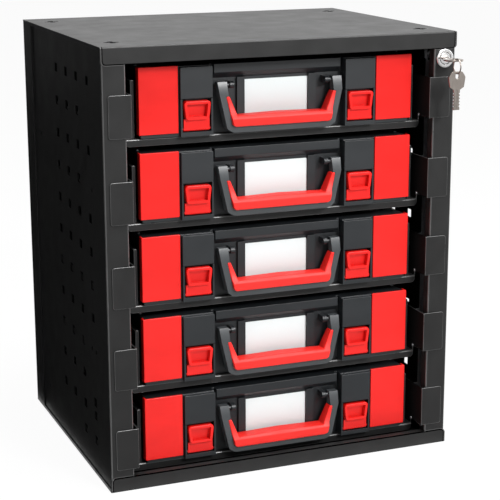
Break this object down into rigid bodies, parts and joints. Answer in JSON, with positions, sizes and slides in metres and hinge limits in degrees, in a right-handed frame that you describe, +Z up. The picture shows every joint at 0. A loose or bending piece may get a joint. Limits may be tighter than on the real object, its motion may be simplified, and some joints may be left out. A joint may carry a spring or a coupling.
{
  "type": "assortment case cabinet",
  "caption": "Lockable steel cabinet whose pull-out trays each hold a plastic assortment case with latches and a fold-down handle.",
  "frame": {"origin": "centre of the cabinet's base, on the floor it stands on", "axes": "+X to the right seen from the front, +Y to the back, +Z up; the trays pull out along -Y"},
  "size_m": [0.425, 0.3785, 0.5],
  "materials": {
    "cabinet": "black powder coat",
    "case": "fine grain",
    "handle": "satin slate grey",
    "red": "satin red",
    "red_grip": "soft red",
    "label": "white card, blank",
    "black_plastic": "black",
    "lock_chrome": "bright",
    "key_nickel": "nickel",
    "zinc": "zinc plated"
  },
  "bodies": {
    "cabinet": {"side_left": "cabinet", "side_right": "cabinet", "top_panel": "cabinet", "bottom_panel": "cabinet", "rear_panel": "cabinet", "stacking_plugs": "black_plastic", "slide_rails": "cabinet", "lock_barrel": "lock_chrome", "bar_guides": "zinc"},
    "lock_core": {"lock_plug": "lock_chrome", "lock_cam": "zinc", "key": "key_nickel"},
    "lock_bar": {"lock_bar": "zinc"},
    "key_ring": {"key_ring": "key_nickel"},
    "spare_key": {"spare_key": "key_nickel"},
    "tray_1": {"tray_1": "cabinet"},
    "case_1": {"case_base_1": "case", "case_lid_1": "case", "corner_plates_1": "red", "label_1": "label"},
    "handle_1": {"handle_1": "handle", "grip_1": "red_grip"},
    "latch_left_1": {"latch_left_1": "red"},
    "latch_right_1": {"latch_right_1": "red"},
    "tray_2": {"tray_2": "cabinet"},
    "case_2": {"case_base_2": "case", "case_lid_2": "case", "corner_plates_2": "red", "label_2": "label"},
    "handle_2": {"handle_2": "handle", "grip_2": "red_grip"},
    "latch_left_2": {"latch_left_2": "red"},
    "latch_right_2": {"latch_right_2": "red"},
    "tray_3": {"tray_3": "cabinet"},
    "case_3": {"case_base_3": "case", "case_lid_3": "case", "corner_plates_3": "red", "label_3": "label"},
    "handle_3": {"handle_3": "handle", "grip_3": "red_grip"},
    "latch_left_3": {"latch_left_3": "red"},
    "latch_right_3": {"latch_right_3": "red"},
    "tray_4": {"tray_4": "cabinet"},
    "case_4": {"case_base_4": "case", "case_lid_4": "case", "corner_plates_4": "red", "label_4": "label"},
    "handle_4": {"handle_4": "handle", "grip_4": "red_grip"},
    "latch_left_4": {"latch_left_4": "red"},
    "latch_right_4": {"latch_right_4": "red"},
    "tray_5": {"tray_5": "cabinet"},
    "case_5": {"case_base_5": "case", "case_lid_5": "case", "corner_plates_5": "red", "label_5": "label"},
    "handle_5": {"handle_5": "handle", "grip_5": "red_grip"},
    "latch_left_5": {"latch_left_5": "red"},
    "latch_right_5": {"latch_right_5": "red"}
  },
  "joints": [
    {"name": "lock_turn", "type": "hinge", "parent": "cabinet", "child": "lock_core", "pos_m": [0.1971, -0.17, 0.4698], "axis": [0, 1, 0], "range_deg": [-180, 0]},
    {"name": "lock_bar_slide", "type": "slide", "parent": "cabinet", "child": "lock_bar", "axis": [0, 0, 1], "range_m": [-0.011, 0]},
    {"name": "ring_swing", "type": "hinge", "parent": "lock_core", "child": "key_ring", "pos_m": [0.1971, -0.1996, 0.4698], "axis": [-1, 0, 0], "range_deg": [0, 180]},
    {"name": "spare_key_swing", "type": "hinge", "parent": "key_ring", "child": "spare_key", "pos_m": [0.1971, -0.1996, 0.45545], "axis": [0, -1, 0], "range_deg": [-5, 20]},
    {"name": "tray_slide_1", "type": "slide", "parent": "cabinet", "child": "tray_1", "axis": [0, -1, 0], "range_m": [0, 0.24]},
    {"name": "case_pull_1", "type": "slide", "parent": "tray_1", "child": "case_1", "axis": [0, -1, 0], "range_m": [0, 0.32]},
    {"name": "handle_swing_1", "type": "hinge", "parent": "case_1", "child": "handle_1", "pos_m": [0, -0.149, 0.4503], "axis": [-1, 0, 0], "range_deg": [0, 90]},
    {"name": "latch_left_turn_1", "type": "hinge", "parent": "case_1", "child": "latch_left_1", "pos_m": [-0.09895, -0.149, 0.4041], "axis": [1, 0, 0], "range_deg": [0, 80]},
    {"name": "latch_right_turn_1", "type": "hinge", "parent": "case_1", "child": "latch_right_1", "pos_m": [0.09895, -0.149, 0.4041], "axis": [1, 0, 0], "range_deg": [0, 80]},
    {"name": "tray_slide_2", "type": "slide", "parent": "cabinet", "child": "tray_2", "axis": [0, -1, 0], "range_m": [0, 0.24]},
    {"name": "case_pull_2", "type": "slide", "parent": "tray_2", "child": "case_2", "axis": [0, -1, 0], "range_m": [0, 0.32]},
    {"name": "handle_swing_2", "type": "hinge", "parent": "case_2", "child": "handle_2", "pos_m": [0, -0.149, 0.3563], "axis": [-1, 0, 0], "range_deg": [0, 90]},
    {"name": "latch_left_turn_2", "type": "hinge", "parent": "case_2", "child": "latch_left_2", "pos_m": [-0.09895, -0.149, 0.3101], "axis": [1, 0, 0], "range_deg": [0, 80]},
    {"name": "latch_right_turn_2", "type": "hinge", "parent": "case_2", "child": "latch_right_2", "pos_m": [0.09895, -0.149, 0.3101], "axis": [1, 0, 0], "range_deg": [0, 80]},
    {"name": "tray_slide_3", "type": "slide", "parent": "cabinet", "child": "tray_3", "axis": [0, -1, 0], "range_m": [0, 0.24]},
    {"name": "case_pull_3", "type": "slide", "parent": "tray_3", "child": "case_3", "axis": [0, -1, 0], "range_m": [0, 0.32]},
    {"name": "handle_swing_3", "type": "hinge", "parent": "case_3", "child": "handle_3", "pos_m": [0, -0.149, 0.2623], "axis": [-1, 0, 0], "range_deg": [0, 90]},
    {"name": "latch_left_turn_3", "type": "hinge", "parent": "case_3", "child": "latch_left_3", "pos_m": [-0.09895, -0.149, 0.2161], "axis": [1, 0, 0], "range_deg": [0, 80]},
    {"name": "latch_right_turn_3", "type": "hinge", "parent": "case_3", "child": "latch_right_3", "pos_m": [0.09895, -0.149, 0.2161], "axis": [1, 0, 0], "range_deg": [0, 80]},
    {"name": "tray_slide_4", "type": "slide", "parent": "cabinet", "child": "tray_4", "axis": [0, -1, 0], "range_m": [0, 0.24]},
    {"name": "case_pull_4", "type": "slide", "parent": "tray_4", "child": "case_4", "axis": [0, -1, 0], "range_m": [0, 0.32]},
    {"name": "handle_swing_4", "type": "hinge", "parent": "case_4", "child": "handle_4", "pos_m": [0, -0.149, 0.1683], "axis": [-1, 0, 0], "range_deg": [0, 90]},
    {"name": "latch_left_turn_4", "type": "hinge", "parent": "case_4", "child": "latch_left_4", "pos_m": [-0.09895, -0.149, 0.1221], "axis": [1, 0, 0], "range_deg": [0, 80]},
    {"name": "latch_right_turn_4", "type": "hinge", "parent": "case_4", "child": "latch_right_4", "pos_m": [0.09895, -0.149, 0.1221], "axis": [1, 0, 0], "range_deg": [0, 80]},
    {"name": "tray_slide_5", "type": "slide", "parent": "cabinet", "child": "tray_5", "axis": [0, -1, 0], "range_m": [0, 0.24]},
    {"name": "case_pull_5", "type": "slide", "parent": "tray_5", "child": "case_5", "axis": [0, -1, 0], "range_m": [0, 0.32]},
    {"name": "handle_swing_5", "type": "hinge", "parent": "case_5", "child": "handle_5", "pos_m": [0, -0.149, 0.0743], "axis": [-1, 0, 0], "range_deg": [0, 90]},
    {"name": "latch_left_turn_5", "type": "hinge", "parent": "case_5", "child": "latch_left_5", "pos_m": [-0.09895, -0.149, 0.0281], "axis": [1, 0, 0], "range_deg": [0, 80]},
    {"name": "latch_right_turn_5", "type": "hinge", "parent": "case_5", "child": "latch_right_5", "pos_m": [0.09895, -0.149, 0.0281], "axis": [1, 0, 0], "range_deg": [0, 80]}
  ],
  "couplings": [
    {"joint": "lock_turn", "follows": "lock_bar_slide", "rad_per_m": 285.59},
    {"joint": "ring_swing", "follows": "lock_bar_slide", "rad_per_m": -285.59}
  ]
}
